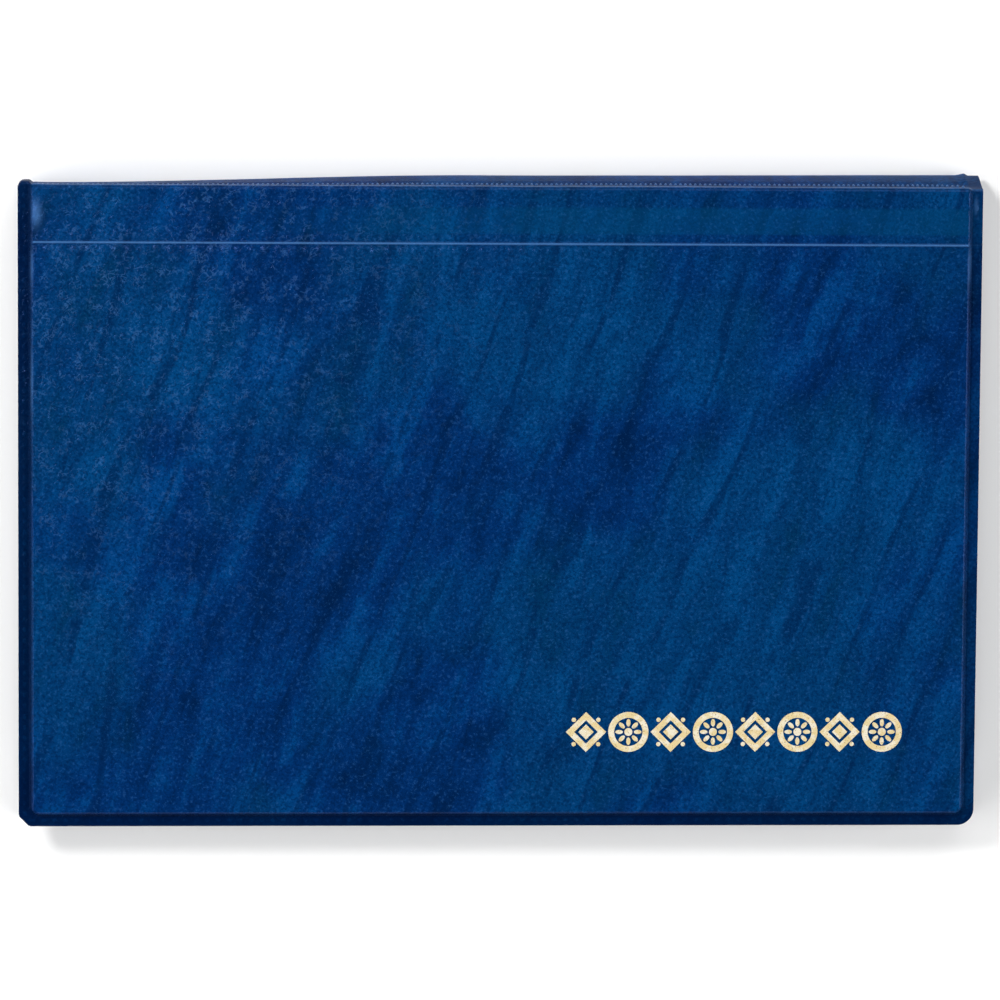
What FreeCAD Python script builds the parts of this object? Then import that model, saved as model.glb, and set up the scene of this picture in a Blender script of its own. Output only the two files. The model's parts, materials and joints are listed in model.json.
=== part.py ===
"""Banknote album with a welded vinyl cover, hinged along its top edge.

It lies closed on its back cover: X is its width, Y its height with the spine
at +Y, and Z its thickness. The origin is the middle of the footprint.
"""

import FreeCAD, Part
import math
import os

from FreeCAD import Vector

# Overall size, mm
COVER_WIDTH = 185.0
COVER_HEIGHT = 125.2

# Sheets of the cover
SKIN = 0.4
LINING = 0.3
BOARD = 1.5
COVER = SKIN + BOARD + LINING

# Welded rim, crease and band of the covers
RIM = 2.3
CREASE_BELOW_SPINE = 12.4
CREASE_WIDTH = 1.0
CREASE_SLOPE = 1.2
BAND_DROP = 0.3
PANEL_ROUNDING = 0.8
LEFT_CORNER_CUT = 2.0
RIGHT_CORNER_RADIUS = 3.2

# Leaves
LEAF_COUNT = 12
LEAF_PITCH = 0.55
FILM = 0.15
POCKET_GAP = 0.18
LEAF_WIDTH = 178.0
LEAF_SIDE_SEAM = 2.0
LEAF_FOOT_INSET = 4.2
POCKET_MOUTH_BELOW_CREASE = 1.5
STACK_CLEARANCE = 0.25

# Binding strip and the clearance of the turning sheets
STRIP_DEPTH = 9.8
STRIP_CLEARANCE = 0.3
HINGE_CLEARANCE = 0.3
LEAF_ROOT_GAP = 0.6

# Foil ornament on the front cover
FOIL_CENTRE = (45.5, -44.1)
FOIL_LENGTH = 65.2
FOIL_HEIGHT = 7.8
FOIL_DEPTH = 0.05
FOIL_LINE = 0.9
FOIL_MOTIFS = 8

HALF_WIDTH = COVER_WIDTH / 2
FOOT_Y = -COVER_HEIGHT / 2
SPINE_Y = COVER_HEIGHT / 2
CREASE_Y = SPINE_Y - CREASE_BELOW_SPINE
BAND_END_Y = SPINE_Y - SKIN - LINING - HINGE_CLEARANCE
STRIP_FRONT_Y = SPINE_Y - SKIN - LINING - STRIP_DEPTH

LOWEST_LEAF_Z = COVER + STACK_CLEARANCE + FILM / 2
LEAF_ABOVE_AXIS = FILM / 2 + POCKET_GAP + FILM
TOP_LEAF_Z = LOWEST_LEAF_Z + (LEAF_COUNT - 1) * LEAF_PITCH
THICKNESS = TOP_LEAF_Z + LEAF_ABOVE_AXIS + STACK_CLEARANCE + COVER


def box(x_range, y_range, z_range):
    """A box between two corners, given as ranges."""
    size = [high - low for low, high in (x_range, y_range, z_range)]
    return Part.makeBox(*size, Vector(x_range[0], y_range[0], z_range[0]))


def across(half_width):
    """The range from one side to the other, about the middle."""
    return (-half_width, half_width)


def upright_edge(shape, x, y):
    """The straight edge along Z that passes through x, y."""
    for edge in shape.Edges:
        middle = edge.CenterOfMass
        runs_up = abs(edge.tangentAt(edge.FirstParameter).z) > 0.99
        if runs_up and abs(middle.x - x) < 0.01 and abs(middle.y - y) < 0.01:
            return edge
    raise ValueError("no upright edge at that place")


def cut_foot_corners(shape, inset):
    """Cut the left foot corner and round the right one, for an outline set in by inset."""
    x = HALF_WIDTH - inset
    y = FOOT_Y + inset
    left_cut = LEFT_CORNER_CUT - inset * (2 - math.sqrt(2))
    shape = shape.makeChamfer(left_cut, [upright_edge(shape, -x, y)])
    return shape.makeFillet(RIGHT_CORNER_RADIUS - inset, [upright_edge(shape, x, y)])


def cover_sheet(low, high, band_lift):
    """One full sheet of the front cover: flat, then stepping up to the band past the crease."""
    crease_end = CREASE_Y + CREASE_WIDTH / 2
    band_start = crease_end + CREASE_SLOPE
    outline = [
        (FOOT_Y, low),
        (crease_end, low),
        (band_start, low + band_lift),
        (BAND_END_Y, low + band_lift),
        (BAND_END_Y, high + band_lift),
        (band_start, high + band_lift),
        (crease_end, high),
        (FOOT_Y, high),
    ]
    points = [Vector(-HALF_WIDTH, y, z) for y, z in outline]
    face = Part.Face(Part.makePolygon(points + points[:1]))
    return cut_foot_corners(face.extrude(Vector(COVER_WIDTH, 0, 0)), 0)


def panel_block(inset, bottom, top, rounding):
    """The block that the board fills, or the raised vinyl panel around it."""
    half = HALF_WIDTH - inset
    y_range = (FOOT_Y + inset, CREASE_Y - CREASE_WIDTH / 2 - (inset - RIM))
    block = box(across(half), y_range, (bottom, top))
    block = block.makeFillet(RIGHT_CORNER_RADIUS - RIM, [
        upright_edge(block, -half, y_range[0]),
        upright_edge(block, half, y_range[0]),
    ])
    if rounding:
        rim = [edge for edge in block.Edges if edge.BoundBox.ZMin > top - 0.01]
        block = block.makeFillet(rounding, rim)
    return block


RIM_TOP = THICKNESS - COVER + LINING + SKIN
BAND_LIFT = THICKNESS - BAND_DROP - RIM_TOP
BOARD_TOP = THICKNESS - SKIN


def front_lining():
    bottom = THICKNESS - COVER
    return cover_sheet(bottom, bottom + LINING, BAND_LIFT)


def board_inside(bottom, top):
    return panel_block(RIM + SKIN, bottom, top, 0)


def plain_front_skin():
    """The vinyl of the front cover before the foil is stamped."""
    sheet = cover_sheet(RIM_TOP - SKIN, RIM_TOP, BAND_LIFT)
    raised = panel_block(RIM, RIM_TOP - SKIN, THICKNESS, PANEL_ROUNDING)
    hollow = board_inside(RIM_TOP - SKIN, BOARD_TOP)
    return sheet.fuse(raised).cut(hollow).removeSplitter()


def turned_square(centre_x, radius, bottom, height):
    """A square standing on its corner, extruded upwards."""
    x, y = centre_x, FOIL_CENTRE[1]
    corners = [(x + radius, y), (x, y + radius), (x - radius, y), (x, y - radius)]
    points = [Vector(px, py, bottom) for px, py in corners]
    face = Part.Face(Part.makePolygon(points + points[:1]))
    return face.extrude(Vector(0, 0, height))


def round_disc(centre_x, radius, bottom, height):
    return Part.makeCylinder(radius, height, Vector(centre_x, FOIL_CENTRE[1], bottom))


def foil_shapes(bottom, height):
    """A row of alternating lozenge and ring motifs, each with a filled heart."""
    pitch = (FOIL_LENGTH - FOIL_HEIGHT) / (FOIL_MOTIFS - 1)
    radius = FOIL_HEIGHT / 2
    heart = radius * 0.4
    shapes = []
    for index in range(FOIL_MOTIFS):
        x = FOIL_CENTRE[0] - FOIL_LENGTH / 2 + radius + index * pitch
        motif = turned_square if index % 2 == 0 else round_disc
        outer = motif(x, radius, bottom, height)
        inner = motif(x, radius - FOIL_LINE, bottom, height)
        shapes += [outer.cut(inner), motif(x, heart, bottom, height)]
    return shapes


def turned_to_back(shape):
    """The same piece on the back cover: mirrored through the middle of the thickness."""
    return shape.mirror(Vector(0, 0, THICKNESS / 2), Vector(0, 0, 1))


def spine_skin():
    return box(across(HALF_WIDTH), (SPINE_Y - SKIN, SPINE_Y), (0, THICKNESS))


def spine_lining():
    y_range = (SPINE_Y - SKIN - LINING, SPINE_Y - SKIN)
    return box(across(HALF_WIDTH), y_range, (SKIN, THICKNESS - SKIN))


def binding_strip():
    """The block that holds the leaf roots, a little lower than the space between the bands."""
    band_inside = BAND_DROP + SKIN + LINING
    low = band_inside + STRIP_CLEARANCE
    y_range = (STRIP_FRONT_Y, STRIP_FRONT_Y + STRIP_DEPTH)
    return box(across(LEAF_WIDTH / 2), y_range, (low, THICKNESS - low))


def back_film(axis_z):
    """The sheet of a leaf that runs from the binding strip to the foot."""
    y_range = (FOOT_Y + LEAF_FOOT_INSET, STRIP_FRONT_Y - LEAF_ROOT_GAP)
    return box(across(LEAF_WIDTH / 2), y_range, (axis_z - FILM / 2, axis_z + FILM / 2))


def pocket_film(axis_z):
    """The upper sheet of a leaf, with its seams on three sides, open towards the spine."""
    half = LEAF_WIDTH / 2
    foot = FOOT_Y + LEAF_FOOT_INSET
    mouth = CREASE_Y - POCKET_MOUTH_BELOW_CREASE
    seam_bottom = axis_z + FILM / 2
    sheet = box(across(half), (foot, mouth), (seam_bottom, seam_bottom + POCKET_GAP + FILM))
    space = box(
        across(half - LEAF_SIDE_SEAM),
        (foot + LEAF_SIDE_SEAM, mouth + LEAF_SIDE_SEAM),
        (seam_bottom, seam_bottom + POCKET_GAP),
    )
    return sheet.cut(space)


def build():
    """Every piece by its node name."""
    skin = plain_front_skin()
    lining = front_lining()
    board = board_inside(RIM_TOP - SKIN, BOARD_TOP)
    foil_bottom = THICKNESS - FOIL_DEPTH
    foil = Part.makeCompound(foil_shapes(foil_bottom, FOIL_DEPTH))
    stamped = skin.cut(foil)

    nodes = {
        "back_outer_skin": turned_to_back(skin),
        "back_board": turned_to_back(board),
        "back_lining": turned_to_back(lining),
        "spine_outer_skin": spine_skin(),
        "spine_lining": spine_lining(),
        "binding_strip": binding_strip(),
        "front_outer_skin": stamped,
        "front_board": board,
        "front_lining": lining,
        "foil_ornament": foil,
    }
    for index in range(LEAF_COUNT):
        axis_z = TOP_LEAF_Z - index * LEAF_PITCH
        nodes[f"leaf_{index + 1:02d}_back_film"] = back_film(axis_z)
        nodes[f"leaf_{index + 1:02d}_pocket_film"] = pocket_film(axis_z)
    return nodes


def main():
    os.makedirs("parts", exist_ok=True)
    for name, shape in build().items():
        shape.exportStep(os.path.join("parts", name + ".step"))


main()
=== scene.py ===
# Looks of a banknote album with a welded vinyl cover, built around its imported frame.
import json
import math

import bmesh
import bpy
from bpy.props import FloatProperty, FloatVectorProperty, IntProperty, PointerProperty
from mathutils import Matrix, Vector, noise

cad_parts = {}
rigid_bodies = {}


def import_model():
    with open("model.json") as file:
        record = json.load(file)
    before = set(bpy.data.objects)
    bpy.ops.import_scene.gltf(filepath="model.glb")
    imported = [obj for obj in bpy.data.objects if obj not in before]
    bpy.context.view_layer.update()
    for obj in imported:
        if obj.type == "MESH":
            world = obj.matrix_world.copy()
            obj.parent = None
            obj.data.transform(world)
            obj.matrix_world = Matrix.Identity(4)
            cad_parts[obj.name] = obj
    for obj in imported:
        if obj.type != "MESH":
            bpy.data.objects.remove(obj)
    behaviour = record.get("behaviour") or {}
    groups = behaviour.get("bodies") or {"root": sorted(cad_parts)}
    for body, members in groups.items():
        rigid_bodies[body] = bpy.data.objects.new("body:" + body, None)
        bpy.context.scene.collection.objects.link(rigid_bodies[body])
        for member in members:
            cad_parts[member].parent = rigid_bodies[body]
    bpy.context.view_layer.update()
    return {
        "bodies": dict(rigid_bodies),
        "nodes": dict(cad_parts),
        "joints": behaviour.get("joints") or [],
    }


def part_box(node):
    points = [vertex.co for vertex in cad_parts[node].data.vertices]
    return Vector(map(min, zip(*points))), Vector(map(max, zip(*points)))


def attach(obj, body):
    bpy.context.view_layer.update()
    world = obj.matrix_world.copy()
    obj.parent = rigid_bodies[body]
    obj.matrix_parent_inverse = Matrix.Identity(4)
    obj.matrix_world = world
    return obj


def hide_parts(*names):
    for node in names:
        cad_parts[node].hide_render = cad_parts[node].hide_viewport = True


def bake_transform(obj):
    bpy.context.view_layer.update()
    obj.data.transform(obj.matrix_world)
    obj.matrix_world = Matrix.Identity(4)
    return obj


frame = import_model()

bl_info = {
    "name": "Banknote album",
    "version": (1, 0, 0),
    "blender": (4, 5, 0),
    "location": "3D View > Sidebar > Album",
    "description": "Builds the vinyl cover, linings, leaves and foil of a banknote album",
    "category": "Add Mesh",
}

MM = 0.001
WAVE_PERIOD = math.pi / 10      # of a wave texture whose scale is 1
PVC_IOR = 1.53

# Places of the pieces, from the frame
SKIN_LOW, SKIN_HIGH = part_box("front_outer_skin")
BOARD_LOW, BOARD_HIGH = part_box("front_board")
STRIP_LOW, STRIP_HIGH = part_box("binding_strip")
FOIL_LOW, FOIL_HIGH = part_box("foil_ornament")
SPINE_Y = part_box("spine_outer_skin")[1].y
HALF_WIDTH = SKIN_HIGH.x
FOOT_Y = SKIN_LOW.y
THICKNESS = SKIN_HIGH.z
JOINTS = {joint["child"]: joint for joint in frame["joints"]}
LEAVES = sorted(body for body in frame["bodies"] if body.startswith("leaf_"))
COVERS = (("front", 1), ("back", -1))

# Vinyl sheets and the levels that they are welded at
SKIN = 0.4 * MM
LINING = 0.3 * MM
WELD_Z = BOARD_LOW.z + SKIN
PANEL_LIFT = THICKNESS - WELD_Z
BAND_LIFT = 1.2 * MM
SPINE_LIFT = 0.3 * MM
BEND = 0.7 * MM                 # radius of the corner between the band and the spine
CORNER_Y = SPINE_Y - SPINE_LIFT - BEND
SEAM_Z = 7.4 * MM               # where the two sheets meet on the spine
SEAM_DIP = 0.25 * MM

# Distances along a sheet, from the foot over the panel, the band and the corner to the spine
CREASE = 12.4 * MM
CREASE_S = SPINE_Y - CREASE - FOOT_Y
FLAT_S = CORNER_Y - FOOT_Y
ARC_S = BEND * math.pi / 2
STRIP_START = STRIP_LOW.y - (SPINE_Y - CREASE)
STRIP_END = STRIP_START + 6.5 * MM
TICK_PITCH = 2.6 * MM           # of the puckers beside the crease
TICKS_ABOVE = 1.75 * MM
TICKS_BELOW = 1.45 * MM


def hex_colour(text):
    """An sRGB hex colour as linear red, green, blue and alpha."""
    channels = [int(text[i:i + 2], 16) / 255 for i in (1, 3, 5)]
    linear = [c / 12.92 if c <= 0.04045 else ((c + 0.055) / 1.055) ** 2.4 for c in channels]
    return (*linear, 1.0)


def length_property(name, description, metres):
    return FloatProperty(name=name, description=description, default=metres, unit="LENGTH")


def angle_property(name, description, degrees):
    return FloatProperty(
        name=name, description=description, default=math.radians(degrees), subtype="ANGLE")


def colour_property(name, description, text):
    return FloatVectorProperty(
        name=name, description=description, subtype="COLOR", size=4, min=0, max=1,
        default=hex_colour(text))


class AlbumCoverSettings(bpy.types.PropertyGroup):
    """Sizes and colours of the vinyl cover."""

    rim: length_property("Rim", "Width of the welded rim", 2.3 * MM)
    shoulder: length_property("Shoulder", "Width of the slope from rim to panel", 1.0 * MM)
    weld_pitch: length_property("Weld pitch", "Distance between the rim's weld dots", 2.1 * MM)
    spine_pitch: length_property(
        "Spine weld pitch", "Distance between the ribs of the spine weld", 0.95 * MM)
    left_cut: length_property(
        "Left corner cut", "Size of the cut of the left foot corner", 2.0 * MM)
    right_round: length_property(
        "Right corner radius", "Radius of the right foot corner", 3.2 * MM)
    deep: colour_property("Deep blue", "Darkest clouds and veins of the vinyl", "#001A40")
    middle: colour_property("Middle blue", "Main colour of the vinyl", "#01285C")
    bright: colour_property("Bright blue", "Lightest clouds of the vinyl", "#013870")
    teal: colour_property("Teal", "Greenish tint of some clouds", "#024169")
    # Pale flecks on the grain: part print, part painted glints on the grain's peaks
    fleck: colour_property("Fleck", "Pale flecks on the grain", "#2E62A0")
    # Painted highlight: the pale line along the crease bead, the fold tips, the spine's crest and
    # the spots by the rims
    highlight_blue: colour_property("Stretched blue", "Paler line along the crease", "#5C94D8")
    gloss: colour_property("Gloss", "Tint of the highlights on the vinyl", "#7FA8FF")
    # Darker print of the rims' welds, with painted shade on the slopes up to the panel
    melt_and_slope_shade: colour_property("Melted blue", "Darkened print of the welded rims", "#001030")
    lining: colour_property("Lining", "Colour of the inner sheets", "#0B2A5C")


class AlbumLeafSettings(bpy.types.PropertyGroup):
    """Sizes and colours of the leaves and their binding."""

    film: length_property("Film", "Thickness of one clear film", 0.15 * MM)
    seam: length_property("Seam", "Width of the welded seam of a pocket", 2.0 * MM)
    wave: length_property("Wave", "Height of the soft waves of a film", 0.09 * MM)
    root_bend: length_property(
        "Root bend", "Length of film that bends at the binding strip", 7.0 * MM)
    tint: colour_property("Film tint", "Colour of the clear film", "#DCE8F0")


class AlbumFoilSettings(bpy.types.PropertyGroup):
    """Sizes and colours of the stamped ornament."""

    motifs: IntProperty(
        name="Motifs", description="Number of motifs in the row", default=8, min=2)
    line: length_property("Line", "Width of the frame of a motif", 1.15 * MM)
    gold: colour_property("Gold", "Main colour of the foil", "#F6DFA6")
    pale: colour_property("Pale gold", "Lightest parts of the foil", "#FFF6DC")
    worn: colour_property("Worn gold", "Flecks where the foil is thin", "#8E6B3A")


class AlbumStageSettings(bpy.types.PropertyGroup):
    """Floor, light and camera."""

    distance: length_property("Distance", "Camera distance", 1.1)
    elevation: angle_property("Elevation", "Height angle of the camera above the floor", 83.2)
    azimuth: angle_property(
        "Azimuth", "Turn of the camera about the upright, from the spine side", -26.54)
    roll: angle_property("Roll", "Turn of the picture about the line of sight", 0.409)
    view_angle: angle_property("View angle", "Width of the camera's view", 10.035)
    floor: colour_property("Floor", "Colour of the floor", "#FAFAFA")


def settings(name):
    """One of the album's groups of settings."""
    return getattr(bpy.context.scene, "album_" + name)


# Shared mesh helpers

def ease(value):
    """A smooth step from 0 to 1."""
    t = min(max(value, 0.0), 1.0)
    return t * t * (3 - 2 * t)


def rounded_step(value):
    """A step that rises steeply and rounds off into its top."""
    t = min(max(value, 0.0), 1.0)
    return 1 - (1 - t) ** 3


def bump(distance, width):
    """A bell that is 1 at distance 0 and fades out over width."""
    return math.exp(-(distance / width) ** 2)


def soft_noise(x, y, size, seed=0.0):
    """Smooth noise whose features are about size across."""
    return noise.noise(Vector((x / size, y / size, seed)))


def spaced(*spans):
    """Positions along a line, from spans of (length, number of steps)."""
    places = [0.0]
    for length, steps in spans:
        start = places[-1]
        places += [start + length * (i + 1) / steps for i in range(steps)]
    return places


def grid_sheet(columns, rows):
    """A flat grid with its columns and rows at the given places."""
    bm = bmesh.new()
    bmesh.ops.create_grid(
        bm, x_segments=len(columns) - 1, y_segments=len(rows) - 1, size=1)
    for vert in bm.verts:
        column = round((vert.co.x + 1) / 2 * (len(columns) - 1))
        row = round((vert.co.y + 1) / 2 * (len(rows) - 1))
        vert.co = (columns[column], rows[row], 0)
    return bm


def trim(bm, place, outward):
    """Cut away what lies beyond the line through place, on its outward side."""
    bmesh.ops.bisect_plane(
        bm, geom=bm.verts[:] + bm.edges[:] + bm.faces[:], dist=1e-7,
        plane_co=place, plane_no=outward, clear_outer=True)


def trim_foot_corners(bm, inset):
    """Cut the left foot corner of a flat sheet and round the right one."""
    cover = settings("cover")
    left = -HALF_WIDTH + inset
    right = HALF_WIDTH - inset
    for angle, softening in ((45, 0), (20, 0.1 * MM), (70, 0.1 * MM)):
        turn = math.radians(angle)
        outward = Vector((-math.cos(turn), -math.sin(turn), 0))
        cut = cover.left_cut * min(-outward.x, -outward.y) + softening
        trim(bm, Vector((left, inset, 0)) - outward * cut, outward)
    radius = cover.right_round
    centre = Vector((right - radius, inset + radius, 0))
    for angle in range(10, 90, 10):
        turn = math.radians(angle)
        outward = Vector((math.cos(turn), -math.sin(turn), 0))
        trim(bm, centre + outward * radius, outward)


def finish_mesh(bm, name, material, sharp=50):
    """Turn a bmesh into an object with smooth faces and sharp edges where it folds."""
    mesh = bpy.data.meshes.new(name)
    for face in bm.faces:
        face.smooth = True
    bm.to_mesh(mesh)
    bm.free()
    mesh.set_sharp_from_angle(angle=math.radians(sharp))
    mesh.materials.append(material)
    piece = bpy.data.objects.new(name, mesh)
    bpy.context.scene.collection.objects.link(piece)
    return piece


# Shape of the cover sheets

def end_s(side):
    """Where a cover sheet ends: at the seam along the spine."""
    seam_z = SEAM_Z if side > 0 else THICKNESS - SEAM_Z
    return FLAT_S + ARC_S + WELD_Z - BEND - seam_z


def weld_line(s):
    """Place and outward direction, in Y and Z, of the weld level at distance s from the foot."""
    if s <= FLAT_S:
        return FOOT_Y + s, WELD_Z, 0.0, 1.0
    if s <= FLAT_S + ARC_S:
        turn = (s - FLAT_S) / BEND
        out_y, out_z = math.sin(turn), math.cos(turn)
        return CORNER_Y + BEND * out_y, WELD_Z - BEND + BEND * out_z, out_y, out_z
    return CORNER_Y + BEND, WELD_Z - BEND - (s - FLAT_S - ARC_S), 1.0, 0.0


def slouch(x, y, z):
    """How far the soft spine leans towards the foot, less at the stiff rims.

    Its front edge leans evenly, and its back edge leans most at the left and a little the
    other way at the right.
    """
    from_left = HALF_WIDTH + x
    stiff = 0.9 * MM * ease((2.8 * MM - from_left) / (0.8 * MM))
    front = 1.4 * MM - stiff
    back = 1.5 * MM - 1.7 * MM * ease((from_left - 4.5 * MM) / (85 * MM)) - stiff
    back -= 0.4 * MM * (ease(x / (90 * MM)) + ease((x - 88 * MM) / (2 * MM)))
    lean = back + (front - back) * ease((z - 1 * MM) / (THICKNESS - 2 * MM))
    end_radius = 1.0 * MM
    if from_left < end_radius:
        lean += end_radius - math.sqrt(max(end_radius ** 2 - (end_radius - from_left) ** 2, 0))
    return lean * ease((y - (SPINE_Y - CREASE + 1.5 * MM)) / (8 * MM))


def sheet_point(x, s, lift, side):
    """The place in space of a point on a cover sheet; side is 1 for the front, -1 for the back."""
    y, z, out_y, out_z = weld_line(s)
    y += out_y * lift
    z += out_z * lift
    if side < 0:
        z = THICKNESS - z
    return Vector((x, y - slouch(x, y, z), z))


def raised_inside(x, s):
    """How far a place lies inside the sides and the foot of the raised panel and band."""
    radius = 1.6 * MM
    inset = settings("cover").rim + radius
    beyond_x = abs(x) - (HALF_WIDTH - inset)
    beyond_s = inset - s
    corner = math.hypot(max(beyond_x, 0), max(beyond_s, 0))
    return radius - corner - min(max(beyond_x, beyond_s), 0)


def strip_share(s):
    """1 over the flat strip that shows through the band, 0 beside it."""
    past_crease = s - CREASE_S
    return (ease((past_crease - STRIP_START + 0.3 * MM) / (0.6 * MM))
            * ease((STRIP_END + 0.3 * MM - past_crease) / (0.8 * MM)))


def plain_band(s, side):
    """Lift of the band and the spine face, which dips where the two sheets meet."""
    lift = BAND_LIFT + (SPINE_LIFT - BAND_LIFT) * ease((s - FLAT_S) / ARC_S)
    return lift - SEAM_DIP * ease((s - end_s(side) + 1.0 * MM) / (0.4 * MM))


def band_shape(s, side):
    """The band and the spine face, with the strip that shows through."""
    strip = 0.11 * MM * (strip_share(s) - 0.75) * ease((FLAT_S - s) / (0.5 * MM))
    return plain_band(s, side) + strip


def fold_marks(x, s, side):
    """Small folds and dents that handling leaves in the soft vinyl."""
    reach = 12 * MM
    # Across, up from the foot, angle, half length, half width and height, in millimetres
    marks = (
        (-51.0, 120.4, 62, 1.6, 0.35, 0.12),
        (-89.0, 119.0, 78, 3.0, 0.7, 0.22),
        (-86.5, 121.5, 25, 2.4, 0.6, 0.14),
        (-85.0, 117.0, 40, 1.6, 0.5, 0.10),
        (-89.3, 107.5, 30, 2.0, 0.5, 0.14),
        (-87.5, 104.5, 60, 1.8, 0.5, 0.10),
        (-89.2, 84.0, 10, 1.4, 0.4, 0.10),
        (-89.3, 42.0, 8, 1.3, 0.4, 0.10),
        (-89.3, 40.0, 8, 1.3, 0.4, 0.08),
        (89.3, 108.0, 85, 2.2, 0.4, 0.14),
        (72.0, 60.0, 55, 6.0, 1.2, 0.05),
        (-20.0, 75.0, 60, 9.0, 1.6, -0.05),
    )
    height = 0.0
    for mark_x, mark_s, angle, length, width, size in marks:
        dx = x - mark_x * MM * side
        ds = s - mark_s * MM
        if max(abs(dx), abs(ds)) > reach:
            continue
        turn = math.radians(angle)
        along = dx * math.cos(turn) + ds * math.sin(turn)
        across = ds * math.cos(turn) - dx * math.sin(turn)
        height += size * MM * bump(along, length * MM) * bump(across, width * MM)
    return height


def puckers(x, s):
    """Short ticks on both sides of the crease, where the weld gathers the vinyl."""
    past_crease = s - CREASE_S
    wander = soft_noise(x, 0, 9 * MM, 3.1) * 2.2
    strength = 0.6 + 0.6 * soft_noise(x, s, 14 * MM, 7.7)
    height = 0.0
    for place, reach, shift in ((TICKS_ABOVE, 0.45 * MM, 0.0), (-TICKS_BELOW, 0.55 * MM, 1.9)):
        wave = math.cos(2 * math.pi * x / TICK_PITCH + wander + shift)
        height += max(wave, 0) ** 3 * bump(past_crease - place, reach)
    return 0.24 * MM * height * strength


def skin_lift(x, s, side):
    """Height of the outer vinyl above the weld level.

    The panel and the band stand up inside the rims, with a soft swell, wrinkles along the
    side rims, puckers, folds, and the groove of the crease with a bead in its middle.
    """
    gap = raised_inside(x, s)
    raised = rounded_step((gap + 0.15 * MM) / settings("cover").shoulder)
    past_crease = s - CREASE_S
    band = ease((past_crease + 0.2 * MM) / (2.4 * MM))
    lift = PANEL_LIFT + (band_shape(s, side) - PANEL_LIFT) * band
    swell = soft_noise(x, s, 24 * MM, 1.3 * side) + 0.5 * soft_noise(x, s, 9 * MM, 5.9 * side)
    lift += (swell - 0.9) * 0.055 * MM * ease(gap / (5 * MM))
    beside_rim = bump(abs(x) - HALF_WIDTH + 3.2 * MM, 0.9 * MM)
    lift += 0.16 * MM * soft_noise(x * 0.35, s, 1.7 * MM, 2.2) * beside_rim
    lift += puckers(x, s) + fold_marks(x, s, side)
    groove = past_crease + 0.9 * MM * ease((1.2 * MM - gap) / (1.8 * MM))
    lift -= 0.22 * MM * bump(groove, 0.7 * MM) - 0.42 * MM * bump(groove, 0.22 * MM)
    return lift * raised


def melt_and_slope_shade_share(x, s):
    """1 where the weld melts the print darker, on the rims, fading over the slope up to the panel,
    where the darkening is painted shade; the right rim is darkened the least.
    """
    melt_and_slope_shade = 1 - ease((raised_inside(x, s) + 0.15 * MM) / (1.0 * MM))
    right = ease((x - HALF_WIDTH + 4 * MM) / (2 * MM)) * ease((s - 1 * MM) / (6 * MM))
    return melt_and_slope_shade * (1 - 0.5 * right)


def rubbed_and_glint_share(x, s):
    """1 on the spine, which is rubbed matt, 0 on the panel and the band, and about a half on spots
    by the rims, where a highlight is painted.
    """
    # Spots of painted highlight on the rims and shoulders, given as a half rubbing
    # Across, up from the foot, half width and half length, in millimetres
    glint_spots = ((90.0, 109.3, 0.3, 2.8), (91.2, 121.5, 0.3, 1.5), (-89.0, 119.0, 0.8, 2.4),
             (-89.9, 108.0, 0.3, 3.0), (-89.9, 86.0, 0.25, 5.0))
    rubbed_and_glints = ease((s - FLAT_S - 0.3 * ARC_S) / (0.7 * ARC_S))
    for spot_x, spot_s, width, length in glint_spots:
        spot = bump(x - spot_x * MM, width * MM) * bump(s - spot_s * MM, length * MM)
        rubbed_and_glints = max(rubbed_and_glints, 0.45 * spot)
    return rubbed_and_glints


def lining_lift(x, s, side):
    """Height of the lining's outer face above the weld level, less the skin."""
    gap = min(raised_inside(x, s), s - CREASE_S - 0.3 * MM)
    below_skin = SKIN + 0.02 * MM
    return ease(gap / (1.3 * MM)) * plain_band(s, side) - below_skin


def cover_rows(side, fine):
    """Places of the rows of a cover sheet, closest where it bends; fine is 1 for the skins."""
    rim = settings("cover").rim
    return spaced(
        (rim, 3 + 3 * fine),
        (1.5 * MM, 3 + 6 * fine),
        (CREASE_S - rim - 4.1 * MM, 28 + 12 * fine),
        (2.6 * MM, 4 + 11 * fine),
        (2.8 * MM, 6 + 12 * fine),
        (FLAT_S - CREASE_S - 2.8 * MM, 8 + 16 * fine),
        (ARC_S, 6 + 4 * fine),
        (end_s(side) - FLAT_S - ARC_S, 4 + 4 * fine),
    )


def cover_columns(fine):
    """Places of the columns of a cover sheet, closest along its side rims."""
    rim = settings("cover").rim
    side = ((rim, 3 + 4 * fine), (1.5 * MM, 3 + 6 * fine))
    middle = (2 * HALF_WIDTH - 2 * rim - 3 * MM, 60 + 260 * fine)
    return [place - HALF_WIDTH for place in spaced(*side, middle, *reversed(side))]


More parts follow.
